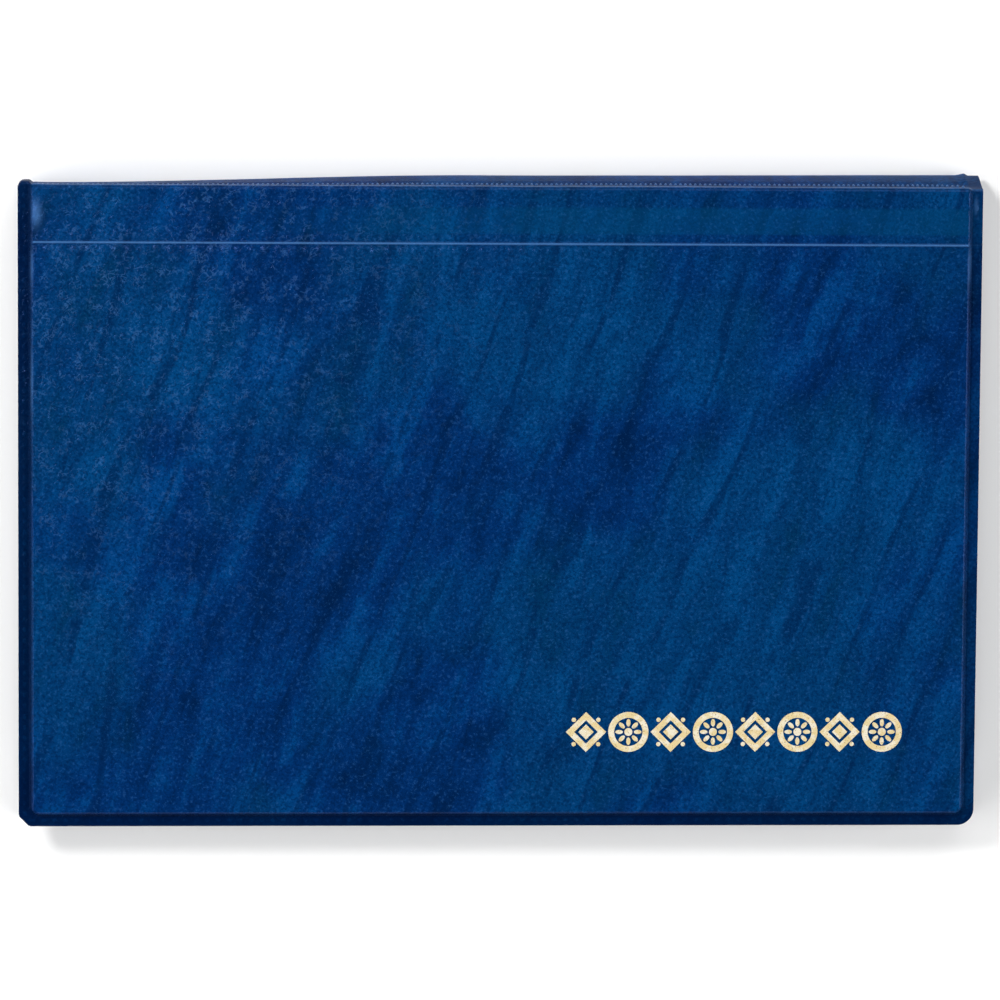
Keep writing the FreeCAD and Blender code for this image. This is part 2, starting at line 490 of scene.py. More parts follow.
def cover_sheet(name, material, side, lift, thickness, fine, inset):
    """One closed sheet of a cover, from the foot to mid-spine.

    Its points carry how far they are welded, which darkens the rims and paints shade on their
    slopes, how far they are pressed by the strip inside, which also paints a sheen on the band,
    and how far they are rubbed, which also paints highlights on the crest of the spine and on
    spots by the rims; the strip shows more and more from the left end to past the middle.
    """
    bm = grid_sheet(cover_columns(fine), cover_rows(side, fine))
    trim_foot_corners(bm, inset)
    if inset:
        for outward in (Vector((-1, 0, 0)), Vector((1, 0, 0)), Vector((0, -1, 0))):
            trim(bm, Vector((outward.x * (HALF_WIDTH - inset), inset, 0)), outward)
    weld, pressed_and_sheen, rubbed_and_glints = [bm.verts.layers.float.new(layer)
                             for layer in ("weld", "pressed_and_sheen", "rubbed_and_glints")]
    for vert in bm.verts:
        x, s = vert.co.x, vert.co.y
        # The rims' darker weld print, with painted shade on the slopes up to the panel
        vert[weld] = melt_and_slope_shade_share(x, s)
        # The strip's share smooths the emboss and also paints a sheen on the band, fading out to
        # the left
        vert[pressed_and_sheen] = strip_share(s) * ease((x + 70 * MM) / (100 * MM)) * (1 - vert[weld])
        vert[rubbed_and_glints] = rubbed_and_glint_share(x, s)
        vert.co = sheet_point(x, s, lift(x, s, side), side)
    if side < 0:
        bmesh.ops.reverse_faces(bm, faces=bm.faces[:])
    bm.normal_update()
    bmesh.ops.solidify(bm, geom=bm.faces[:], thickness=thickness)
    return finish_mesh(bm, name, material)


def bend_at_spine(piece):
    """Bake a sheet's transform into its mesh."""
    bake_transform(piece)


# Materials

def add_node(tree, kind, inputs=None, output=0, **own):
    """Add one shader node with its own settings, and give one of its outputs.

    Each input is a constant, or the output of another node to link to it.
    """
    node = tree.nodes.new("ShaderNode" + kind)
    for name, value in own.items():
        setattr(node, name, value)
    for socket, value in (inputs or {}).items():
        if isinstance(value, bpy.types.NodeSocket):
            tree.links.new(value, node.inputs[socket])
        else:
            node.inputs[socket].default_value = value
    return node.outputs[output] if node.outputs else None


def new_material(name):
    """An empty material, and its object coordinates in millimetres."""
    material = bpy.data.materials.new(name)
    material.use_nodes = True
    tree = material.node_tree
    tree.nodes.clear()
    metres = add_node(tree, "TexCoord", output="Object")
    return material, tree, add_node(tree, "Mapping", {"Vector": metres, "Scale": [1 / MM] * 3})


def finish_material(material, inputs):
    """Give a material its surface, from the constants and links of its shader."""
    tree = material.node_tree
    surface = add_node(tree, "BsdfPrincipled", inputs)
    add_node(tree, "OutputMaterial", {"Surface": surface})
    return material


def mottled(tree, vector, size, detail, rough, spread, first, second, strength=1.0):
    """Noise with features about size millimetres across, and the two colours that it mixes."""
    cloud = add_node(tree, "TexNoise", {
        "Vector": vector, "Scale": 1 / size, "Detail": detail, "Roughness": rough})
    share = add_node(tree, "MapRange", {
        "Value": cloud, "From Min": spread[0], "From Max": spread[1], "To Max": strength,
    }, interpolation_type="SMOOTHSTEP")
    colour = add_node(tree, "Mix", {"Factor": share, 6: first, 7: second}, 2, data_type="RGBA")
    return cloud, colour


def darker(colour, share):
    """A colour at a share of its brightness."""
    return [channel * share for channel in colour[:3]] + [1.0]


def marbled_vinyl(name, gloss):
    """Calendered PVC leatherette, printed with a cloudy marble and embossed with a fine pebble.

    The print gives drifting light and dark blue clouds with slanting dark veins, and the
    emboss breaks every highlight into small glints. The spine and the edges of the panel are
    rubbed matt, so it is made twice, with more and with less gloss.
    """
    cover = settings("cover")
    material, tree, mm = new_material(name)
    part = {key: add_node(tree, "Attribute", output="Fac", attribute_name=key)
            for key in ("weld", "rubbed_and_glints", "pressed_and_sheen")}

    # The marbling runs steeply from lower left to upper right: streaks 5 mm wide and 25 mm long,
    # and sparse soft veins 1 to 3 mm wide and up to 50 mm long
    slant = add_node(tree, "Mapping", {
        "Vector": mm, "Rotation": (0, 0, math.radians(70)), "Scale": (4.6, 1.0, 1.0),
    }, vector_type="TEXTURE")
    # Name, coordinates, size in millimetres, detail, roughness and distortion of each pattern
    for key, vector, size, detail, rough, distortion in (
            ("tint", mm, 40, 2, 0.55, 0.0),
            ("drift", mm, 30, 2, 0.55, 0.4),
            ("patches", mm, 9, 4, 0.55, 0.5),
            ("streaks", slant, 5.2, 4, 0.55, 0.35),
            ("veining", slant, 10, 2, 0.4, 0.3),
            ("mottle", mm, 1.5, 3, 0.7, 0.0),
            ("torn", mm, 2.4, 2, 0.55, 0.0),
            ("wrinkle", mm, 1.3, 3, 0.55, 0.5),
            ("grain", mm, 0.55, 2, 0.6, 0.5)):
        part[key] = add_node(tree, "TexNoise", {
            "Vector": vector, "Scale": 1 / size, "Detail": detail, "Roughness": rough,
            "Distortion": distortion})
    part["bands"] = add_node(tree, "TexWave", {
        "Vector": slant, "Scale": WAVE_PERIOD / 10.7, "Distortion": 7.0, "Detail": 3.0,
        "Detail Scale": 1.6, "Detail Roughness": 0.55}, "Fac", bands_direction="Y")
    # The weld of the crease gathers the vinyl into short ticks on both of its sides
    part["ticks"] = add_node(tree, "TexWave", {
        "Vector": mm, "Scale": WAVE_PERIOD * MM / TICK_PITCH, "Distortion": 1.6, "Detail": 1.0,
    }, "Fac", bands_direction="X")

    # Distances: from the middle of a noise, which draws thin lines, and from the crease
    part["y"] = add_node(tree, "SeparateXYZ", {"Vector": mm}, "Y")
    crease = (SPINE_Y - CREASE) / MM
    for key, source, middle in (
            ("ridge", "veining", 0.5),
            ("fold", "wrinkle", 0.5),
            ("from_crease", "y", crease),
            ("from_upper", "y", crease + TICKS_ABOVE / MM),
            ("from_lower", "y", crease - TICKS_BELOW / MM)):
        offset = add_node(tree, "Math", {0: part[source], 1: middle}, operation="SUBTRACT")
        part[key] = add_node(tree, "Math", {0: offset}, operation="ABSOLUTE")
    # The vinyl is creased most around the left end of the spine, where it is gathered and handled;
    # the glints painted on the fold tips are kept there too
    part["from_corner"] = add_node(tree, "VectorMath", {0: mm, 1: (-92, 62, 11)}, "Value",
                                   operation="DISTANCE")
    shade = 0.0
    for key, share in (("drift", 0.18), ("patches", 0.20), ("streaks", 0.46), ("mottle", 0.16)):
        shade = add_node(tree, "Math", {0: part[key], 1: share, 2: shade},
                         operation="MULTIPLY_ADD")
    part["shade"] = shade

    # Masks: where each starts and is full on its source, and its strength there
    for key, source, start, full, strength in (
            ("middle", "shade", 0.37, 0.50, 1.0),
            ("bright", "shade", 0.48, 0.60, 1.0),
            ("teal", "tint", 0.42, 0.62, 0.35),
            ("core", "ridge", 0.03, 0.0, 0.6),
            ("band", "bands", 0.90, 1.0, 1.0),
            ("clouded", "patches", 0.40, 0.56, 0.55),
            ("pits", "grain", 0.52, 0.36, 0.55),
            # Pale flecks on the peaks of the grain: part print, part painted glints
            ("flecks", "grain", 0.56, 0.70, 0.20),
            ("near_left_end", "from_corner", 120, 35, 1.0),
            ("broken", "torn", 0.50, 0.62, 1.0),
            # Painted glints on the tips of the folds, kept near the left end of the spine
            ("fold_tip_glints", "fold", 0.06, 0.0, 0.13),
            # A painted highlight along the bead of the crease
            ("bead_highlight", "from_crease", 0.28, 0.05, 0.45),
            ("upper", "from_upper", 0.9, 0.1, 1.0),
            ("lower", "from_lower", 1.1, 0.1, 1.0)):
        part[key] = add_node(tree, "MapRange", {
            "Value": part[source], "From Min": start, "From Max": full, "To Max": strength,
        }, interpolation_type="SMOOTHSTEP")

    # Sums: each takes earlier values by name, or numbers
    for key, operation, *values in (
            ("veins", "MAXIMUM", "core", "band"),
            ("veins", "MULTIPLY", "veins", "clouded"),
            ("fold_tip_glints", "MULTIPLY", "fold_tip_glints", "broken"),
            ("fold_tip_glints", "MULTIPLY", "fold_tip_glints", "near_left_end"),
            ("unwelded", "SUBTRACT", 1.0, "weld"),
            ("unwelded", "POWER", "unwelded", 4.0),
            ("bead_highlight", "MULTIPLY", "bead_highlight", "unwelded"),
            # A painted highlight: paler where the rubbing is half, along the crest of the spine
            # and on the glint spots
            ("clear_of_rubbed_and_glints", "SUBTRACT", 1.0, "rubbed_and_glints"),
            ("edge", "MULTIPLY", "rubbed_and_glints", "clear_of_rubbed_and_glints"),
            ("edge", "MULTIPLY", "edge", 1.1),
            # A painted sheen: the strip in the band is paler teal, more so towards the right
            ("strip_sheen", "MULTIPLY", "pressed_and_sheen", 0.3),
            # The weld's darker print, which also paints shade on the slope up to the panel
            ("melt_and_slope_shade", "MULTIPLY", "weld", 0.85),
            ("creased", "MULTIPLY_ADD", "near_left_end", 0.6, 0.5),
            ("flat", "MULTIPLY_ADD", "pressed_and_sheen", -0.7, 1.0),
            ("fold", "MULTIPLY", "fold", "creased"),
            ("fold", "MULTIPLY", "fold", "flat"),
            ("grain", "MULTIPLY", "grain", "flat"),
            ("ticks", "POWER", "ticks", 3.0),
            ("beside", "MAXIMUM", "upper", "lower"),
            ("ticks", "MULTIPLY", "ticks", "beside"),
            ("ticks", "MULTIPLY", "ticks", "creased"),
            ("rough", "MULTIPLY_ADD", "mottle", 0.12, 0.19),
            ("rough", "MULTIPLY_ADD", "rubbed_and_glints", 0.25, "rough")):
        inputs = {index: part.get(value, value) for index, value in enumerate(values)}
        part[key] = add_node(tree, "Math", inputs, operation=operation)

    # The print, from its ground colour up, with painted light laid over it. Pale flecks on the
    # grain are partly print and partly painted glints on its peaks, the paler fold tips near the
    # left end of the spine are painted glints, the pale line along the crease bead is a painted
    # highlight, and the pale crest of the spine and the pale spots by the rims are painted
    # highlights. The teal over the strip in the band is a painted sheen, and a rim's weld melts
    # the vinyl darker, with painted shade on the slope up to the panel
    colour = cover.deep
    for key, ink in (("middle", cover.middle), ("bright", cover.bright), ("teal", cover.teal),
                     ("veins", cover.deep), ("pits", cover.deep), ("flecks", cover.fleck),
                     ("fold_tip_glints", cover.highlight_blue), ("bead_highlight", cover.highlight_blue),
                     ("edge", cover.highlight_blue), ("strip_sheen", cover.teal),
                     ("melt_and_slope_shade", cover.melt_and_slope_shade)):
        colour = add_node(tree, "Mix", {"Factor": part[key], 6: colour, 7: ink}, 2,
                          data_type="RGBA")

    normal = (0.0, 0.0, 0.0)
    for key, depth, strength in (("fold", 0.36, 0.8), ("grain", 0.03, 0.6), ("ticks", 0.16, 1.0)):
        normal = add_node(tree, "Bump", {
            "Height": part[key], "Distance": depth * MM, "Strength": strength, "Normal": normal})
    return finish_material(material, {
        "Base Color": colour, "Roughness": part["rough"], "Normal": normal, "IOR": PVC_IOR,
        "Specular IOR Level": gloss, "Specular Tint": cover.gloss})


def smooth_lining():
    """Calendered PVC lining with a faint linen emboss, which gives it a dull, even sheen."""
    material, tree, mm = new_material("linen_embossed_pvc_lining")
    blue = settings("cover").lining
    mottle, colour = mottled(tree, mm, 9, 4, 0.55, (0.35, 0.65), darker(blue, 0.7), blue)
    threads = {index: add_node(tree, "TexWave", {
        "Vector": mm, "Scale": WAVE_PERIOD / 0.35, "Distortion": 1.2,
    }, "Fac", bands_direction=axis) for index, axis in enumerate("XY")}
    linen = add_node(tree, "Math", threads, operation="MAXIMUM")
    normal = add_node(tree, "Bump", {"Height": linen, "Distance": 0.03 * MM, "Strength": 0.5})
    rough = add_node(tree, "Math", {0: mottle, 1: 0.15, 2: 0.42}, operation="MULTIPLY_ADD")
    return finish_material(material, {
        "Base Color": colour, "Roughness": rough, "Normal": normal, "IOR": PVC_IOR})


def greyboard():
    """Solid greyboard, pressed from waste paper: dull grey with paler and darker fibres."""
    material, tree, mm = new_material("uncoated_greyboard")
    fibres = add_node(tree, "Mapping", {"Vector": mm, "Scale": (0.25, 1.0, 1.0)})
    fibre, colour = mottled(tree, fibres, 0.5, 4, 0.7, (0.35, 0.65),
                            hex_colour("#7C776D"), hex_colour("#A8A296"))
    normal = add_node(tree, "Bump", {"Height": fibre, "Distance": 0.05 * MM, "Strength": 0.6})
    return finish_material(material, {
        "Base Color": colour, "Roughness": 0.9, "Normal": normal, "IOR": 1.47})


def welded_pvc():
    """Compact soft PVC of the binding strip: satin, with fine drag lines from the welding bar."""
    material, tree, mm = new_material("welded_soft_pvc")
    drag = add_node(tree, "Mapping", {"Vector": mm, "Scale": (0.04, 1.0, 1.0)})
    lines, colour = mottled(tree, drag, 0.35, 3, 0.55, (0.3, 0.7),
                            hex_colour("#0A1F44"), hex_colour("#143463"))
    normal = add_node(tree, "Bump", {"Height": lines, "Distance": 0.03 * MM, "Strength": 0.5})
    rough = add_node(tree, "Math", {0: lines, 1: 0.2, 2: 0.30}, operation="MULTIPLY_ADD")
    return finish_material(material, {
        "Base Color": colour, "Roughness": rough, "Normal": normal, "IOR": PVC_IOR})


def clear_film():
    """Clear plasticised PVC film: see-through face on, bluish and shiny at a slant.

    Its welded seams carry a fine rib that makes them look frosted.
    """
    material, tree, mm = new_material("clear_plasticised_pvc_film")
    tint = settings("leaf").tint
    weld = add_node(tree, "Attribute", output="Fac", attribute_name="weld")
    _, colour = mottled(tree, mm, 14, 3, 0.55, (0.3, 0.7), tint, darker(tint, 0.86))
    facing = add_node(tree, "LayerWeight", {"Blend": 0.25}, "Facing")
    alpha = add_node(tree, "Math", {0: facing, 1: 0.55, 2: 0.07}, operation="MULTIPLY_ADD")
    alpha = add_node(tree, "Math", {0: weld, 1: 0.22, 2: alpha}, operation="MULTIPLY_ADD")
    ribs = add_node(tree, "TexWave", {
        "Vector": mm, "Scale": WAVE_PERIOD / 0.5, "Distortion": 0.0,
    }, "Fac", bands_direction="DIAGONAL")
    ribs = add_node(tree, "Math", {0: ribs, 1: weld}, operation="MULTIPLY")
    waves = add_node(tree, "TexNoise", {
        "Vector": mm, "Scale": 1 / 5, "Detail": 2, "Roughness": 0.55})
    normal = (0.0, 0.0, 0.0)
    for height, strength in ((ribs, 0.7), (waves, 0.35)):
        normal = add_node(tree, "Bump", {
            "Height": height, "Distance": 0.05 * MM, "Strength": strength, "Normal": normal})
    rough = add_node(tree, "Math", {0: weld, 1: 0.25, 2: 0.08}, operation="MULTIPLY_ADD")
    return finish_material(material, {
        "Base Color": colour, "Alpha": alpha, "Roughness": rough, "Normal": normal,
        "IOR": PVC_IOR})


def stamped_foil():
    """Hot-stamped gold foil on a grained sheet: pale metal with worn brown flecks."""
    foil = settings("foil")
    material, tree, mm = new_material("hot_stamped_gold_foil")
    _, colour = mottled(tree, mm, 1.9, 3, 0.55, (0.42, 0.62), foil.gold, foil.pale)
    fine, colour = mottled(tree, mm, 0.38, 4, 0.7, (0.56, 0.66), colour, foil.worn, strength=0.8)
    rough = add_node(tree, "Math", {0: fine, 1: 0.25, 2: 0.28}, operation="MULTIPLY_ADD")
    normal = add_node(tree, "Bump", {"Height": fine, "Distance": 0.04 * MM, "Strength": 0.5})
    return finish_material(material, {
        "Base Color": colour, "Roughness": rough, "Normal": normal, "Metallic": 0.35})


# Operators, one for each piece or group of like pieces

class ALBUM_OT_outer_vinyl(bpy.types.Operator):
    """Build the front and back outer vinyl, which meet at the weld along the spine"""

    bl_idname = "album.outer_vinyl"
    bl_label = "Outer vinyl"

    def execute(self, context):
        glossy = marbled_vinyl("marbled_pvc_leatherette", 0.2)
        matt = marbled_vinyl("rubbed_pvc_leatherette", 0.05)
        for face, side in COVERS:
            piece = cover_sheet(face + "_cover_vinyl", glossy, side, skin_lift, SKIN,
                                fine=1, inset=0)
            piece.data.materials.append(matt)
            for polygon in piece.data.polygons:
                steep = abs(polygon.normal.z) < 0.8
                polygon.material_index = int(steep)
            bend_at_spine(piece)
            if side > 0:
                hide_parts("front_outer_skin", "spine_outer_skin")
            else:
                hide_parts("back_outer_skin")
        return {"FINISHED"}


def weld_pad(bm, place, size, along, outward, melt_and_slope_shade, worn):
    """One small rounded pad of a weld row, lying along a direction on the sheet.

    Its size is its length, its width and its height above the sheet. The first share darkens it
    like the rim's weld, and the second is its rubbing, which at a half also paints it paler as a
    highlight.
    """
    length, width, height = size
    made = bmesh.ops.create_uvsphere(bm, u_segments=8, v_segments=4, radius=1)
    sideways = outward.cross(along)
    turn = Matrix((along * length / 2, sideways * width / 2, outward * height)).transposed()
    bmesh.ops.transform(bm, matrix=turn.to_4x4(), verts=made["verts"])
    bmesh.ops.translate(bm, vec=place, verts=made["verts"])
    weld = bm.verts.layers.float.get("weld")
    rubbed_and_glints = bm.verts.layers.float.get("rubbed_and_glints")
    for vert in made["verts"]:
        vert[weld] = melt_and_slope_shade
        vert[rubbed_and_glints] = worn


def weld_row_mesh():
    """An empty mesh whose points can carry how far they are welded and rubbed."""
    bm = bmesh.new()
    for layer in ("weld", "rubbed_and_glints"):
        bm.verts.layers.float.new(layer)
    return bm


def rim_path():
    """Places of the rim's weld dots, down one side, along the foot and up the other."""
    cover = settings("cover")
    middle = cover.rim / 2
    edge = HALF_WIDTH - middle
    cut = cover.left_cut + middle * 0.4
    radius = cover.right_round - middle
    top = FLAT_S - 1.0 * MM
    corners = [(-edge, top), (-edge, cut), (-HALF_WIDTH + cut, middle), (edge - radius, middle)]
    corners += [(edge - radius + radius * math.sin(math.radians(turn)),
                 middle + radius - radius * math.cos(math.radians(turn)))
                for turn in range(15, 91, 15)]
    corners += [(edge, top)]
    places = []
    carried = cover.weld_pitch / 2
    for start, end in zip(corners, corners[1:]):
        run = Vector(end) - Vector(start)
        reach = carried
        while reach < run.length:
            places.append((Vector(start) + run * (reach / run.length), run.normalized()))
            reach += cover.weld_pitch
        carried = reach - run.length
    return places


class ALBUM_OT_weld_rows(bpy.types.Operator):
    """Build the dotted weld rows of both rims and the ribbed weld along the spine"""

    bl_idname = "album.weld_rows"
    bl_label = "Weld rows"

    def execute(self, context):
        material = bpy.data.materials["marbled_pvc_leatherette"]
        dot_size = (1.2 * MM, 0.8 * MM, 0.035 * MM)
        step = 0.1 * MM
        for face, side in COVERS:
            bm = weld_row_mesh()
            for (x, s), run in rim_path():
                lift = skin_lift(x, s, side) - 0.01 * MM
                place = sheet_point(x, s, lift, side)
                ahead = sheet_point(x + run.x * step, s + run.y * step, lift, side) - place
                # Each pad takes the rim's darker weld print and the painted highlight of any spot
                # it lies on
                weld_pad(bm, place, dot_size, ahead.normalized(), Vector((0, 0, side)),
                         melt_and_slope_shade=melt_and_slope_shade_share(x, s) * 0.85, worn=rubbed_and_glint_share(x, s))
            piece = finish_mesh(bm, face + "_rim_weld", material)
            bend_at_spine(piece)
        self.spine_row(material)
        return {"FINISHED"}

    def spine_row(self, material):
        """The ribs lie across the seam of the two sheets.

        Their row hooks forward at its right end.
        """
        cover = settings("cover")
        rib_size = (1.9 * MM, 0.55 * MM, 0.36 * MM)
        bm = weld_row_mesh()
        half = HALF_WIDTH - cover.rim - 1.5 * MM
        count = int(2 * half / cover.spine_pitch)
        end = end_s(1)
        for index in range(count + 1):
            x = -half + index * 2 * half / count
            hook = 1.8 * MM * max(0, (x - half + 4 * MM) / (4 * MM)) ** 2
            place = sheet_point(x, end - hook, skin_lift(x, end - hook, 1), 1)
            # Half rubbing paints each rib paler: a painted highlight on the ribs
            weld_pad(bm, place, rib_size, Vector((0, 0, 1)), Vector((0, 1, 0)),
                     melt_and_slope_shade=0.0, worn=0.5)
        piece = finish_mesh(bm, "spine_weld_ribs", material)
        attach(piece, "spine")


class ALBUM_OT_linings(bpy.types.Operator):
    """Build the inner linings of the covers and the spine"""

    bl_idname = "album.linings"
    bl_label = "Linings"

    def execute(self, context):
        material = smooth_lining()
        for face, side in COVERS:
            piece = cover_sheet(face + "_inner_lining", material, side, lining_lift, LINING,
                                fine=0, inset=0.15 * MM)
            bend_at_spine(piece)
            if side > 0:
                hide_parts("front_lining", "spine_lining")
            else:
                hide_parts("back_lining")
        return {"FINISHED"}


class ALBUM_OT_boards(bpy.types.Operator):
    """Give the two boards inside the covers their greyboard finish"""

    bl_idname = "album.boards"
    bl_label = "Boards"

    def execute(self, context):
        material = greyboard()
        for name in ("front_board", "back_board"):
            for slot in frame["nodes"][name].material_slots:
                slot.material = material
        return {"FINISHED"}


class ALBUM_OT_binding_strip(bpy.types.Operator):
    """Build the binding strip, with a slot for the root of each leaf"""

    bl_idname = "album.binding_strip"
    bl_label = "Binding strip"

    def execute(self, context):
        slot_half = 0.11 * MM
        slot_depth = 1.6 * MM
        rear = STRIP_HIGH.y - 1.9 * MM
        levels = sorted(JOINTS[leaf]["pos_m"][2] for leaf in LEAVES)
        outline = [(STRIP_LOW.y, STRIP_LOW.z)]
        for level in levels:
            for depth, half in ((0, -slot_half), (slot_depth, -slot_half),
                                (slot_depth, slot_half), (0, slot_half)):
                outline.append((STRIP_LOW.y + depth, level + half))
        outline += [(STRIP_LOW.y, STRIP_HIGH.z), (rear, STRIP_HIGH.z), (rear, STRIP_LOW.z)]
        bm = bmesh.new()
        end = bm.faces.new([bm.verts.new((STRIP_LOW.x, y, z)) for y, z in outline])
        made = bmesh.ops.extrude_face_region(bm, geom=[end])
        moved = [item for item in made["geom"] if isinstance(item, bmesh.types.BMVert)]
        bmesh.ops.translate(bm, vec=(STRIP_HIGH.x - STRIP_LOW.x, 0, 0), verts=moved)
        bmesh.ops.recalc_face_normals(bm, faces=bm.faces[:])
        bmesh.ops.bevel(bm, geom=bm.edges[:], offset=0.06 * MM, affect="EDGES",
                        segments=2, profile=0.5, material=-1)
        piece = finish_mesh(bm, "leaf_binding_strip", welded_pvc())
        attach(piece, "spine")
        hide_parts("binding_strip")
        return {"FINISHED"}


def film_wave(x, y):
    """Soft waves that all films share, so that they nest; they fade out at the binding strip."""
    fade = ease((STRIP_LOW.y - y) / (20 * MM))
    wave = soft_noise(x, y, 38 * MM, 4.4) + 0.5 * soft_noise(x, y, 15 * MM, 8.1)
    return settings("leaf").wave * wave * fade


def film_sheet(name, node, material, low_z, lift, root_y):
    """One closed film with soft waves; lift gives its height above low_z."""
    low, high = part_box(node)
    depth = root_y - low.y
    seam = settings("leaf").seam
    bend = 12 * MM
    columns = spaced((seam, 4), (high.x - low.x - 2 * seam, 40), (seam, 4))
    rows = spaced((seam, 4), (depth - seam - bend, 22), (bend, 14))
    bm = grid_sheet([low.x + place for place in columns], [low.y + place for place in rows])
    weld = bm.verts.layers.float.new("weld")
    for vert in bm.verts:
        x, y = vert.co.x, vert.co.y
        to_edge = min(high.x - abs(x), y - low.y)
        vert[weld] = 1.0 if to_edge < seam - 0.01 * MM else 0.0
        vert.co.z = low_z + lift(to_edge) + film_wave(x, y)
    bm.normal_update()
    film = settings("leaf").film
    bmesh.ops.translate(bm, vec=(0, 0, film), verts=bm.verts[:])
    bmesh.ops.solidify(bm, geom=bm.faces[:], thickness=film)
    return finish_mesh(bm, name, material)


class ALBUM_OT_leaves(bpy.types.Operator):
    """Build the clear pocket leaves, each a back film and a pocket film"""

    bl_idname = "album.leaves"
    bl_label = "Leaves"

    def execute(self, context):
        sizes = settings("leaf")
        material = clear_film()
        in_slot = STRIP_LOW.y + 1.4 * MM
        for leaf in LEAVES:
            back_node, pocket_node = leaf + "_back_film", leaf + "_pocket_film"
            pocket_low, pocket_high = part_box(pocket_node)
            gap = pocket_high.z - pocket_low.z - sizes.film
            back = film_sheet(leaf + "_clear_back", back_node, material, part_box(back_node)[0].z,
                              lambda to_edge: 0.0, in_slot)
            pocket = film_sheet(leaf + "_clear_pocket", pocket_node, material, pocket_low.z,
                                lambda to_edge: gap * ease((to_edge - sizes.seam) / (1.5 * MM)),
                                pocket_high.y)
            for piece, node in ((back, back_node), (pocket, pocket_node)):
                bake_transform(piece)
                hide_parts(node)
        return {"FINISHED"}


def flat_ring(bm, centre, outer, inner, sides):
    """A flat ring, or a filled shape where inner is 0, with the given number of sides."""
    loops = []
    for radius in (outer, inner):
        if not radius:
            continue
        made = bmesh.ops.create_circle(bm, segments=sides, radius=radius, cap_ends=False)
        bmesh.ops.translate(bm, vec=centre, verts=made["verts"])
        loops.append({edge for vert in made["verts"] for edge in vert.link_edges})
    if len(loops) == 2:
        bmesh.ops.bridge_loops(bm, edges=list(loops[0] | loops[1]))
    else:
        bmesh.ops.contextual_create(bm, geom=list(loops[0]))


class ALBUM_OT_foil(bpy.types.Operator):
    """Build the stamped foil ornament, a row of lozenges and rosettes"""

    bl_idname = "album.foil"
    bl_label = "Foil ornament"

    def execute(self, context):
        foil = settings("foil")
        radius = (FOIL_HIGH.y - FOIL_LOW.y) / 2
        middle_y = (FOIL_HIGH.y + FOIL_LOW.y) / 2
        pitch = (FOIL_HIGH.x - FOIL_LOW.x - 2 * radius) / (foil.motifs - 1)
        bm = bmesh.new()
        for index in range(foil.motifs):
            centre = Vector((FOIL_LOW.x + radius + index * pitch, middle_y, 0))
            if index % 2 == 0:
                self.lozenge(bm, centre, radius, foil.line)
            else:
                self.rosette(bm, centre, radius, foil.line)
        bmesh.ops.triangulate(bm, faces=[face for face in bm.faces if len(face.verts) > 4])
        bmesh.ops.recalc_face_normals(bm, faces=bm.faces[:])
        for face in bm.faces:
            if face.normal.z < 0:
                face.normal_flip()
        bmesh.ops.solidify(bm, geom=bm.faces[:], thickness=0.06 * MM)
        for vert in bm.verts:
            s = vert.co.y - FOOT_Y
            surface = sheet_point(vert.co.x, s, skin_lift(vert.co.x, s, 1), 1)
            vert.co.z += surface.z + 0.02 * MM
        piece = finish_mesh(bm, "gold_foil_ornament", stamped_foil(), sharp=30)
        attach(piece, "front_cover")
        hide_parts("foil_ornament")
        return {"FINISHED"}

    def lozenge(self, bm, centre, radius, line):
        """A square frame on its corner, with a filled heart and four dots."""
        flat_ring(bm, centre, radius, radius - line * 1.4, 4)
        flat_ring(bm, centre, radius * 0.38, 0, 4)
        for quarter in range(4):
            turn = math.radians(45 + 90 * quarter)
            out = Vector((math.cos(turn), math.sin(turn), 0))
            flat_ring(bm, centre + out * radius * 0.86, radius * 0.11, 0, 12)

    def rosette(self, bm, centre, radius, line):
        """A round frame around a ring of petals and a filled heart."""
        flat_ring(bm, centre, radius, radius - line, 48)
        flat_ring(bm, centre, radius * 0.2, 0, 20)
        petals = 8
        for petal in range(petals):
            turn = 2 * math.pi * petal / petals
            made = bmesh.ops.create_circle(bm, segments=14, radius=1, cap_ends=True)
            shape = Matrix.Diagonal((radius * 0.19, radius * 0.105, 1, 1))
            place = Matrix.Rotation(turn, 4, "Z") @ Matrix.Translation((radius * 0.46, 0, 0))
            bmesh.ops.transform(bm, matrix=Matrix.Translation(centre) @ place @ shape,
                                verts=made["verts"])


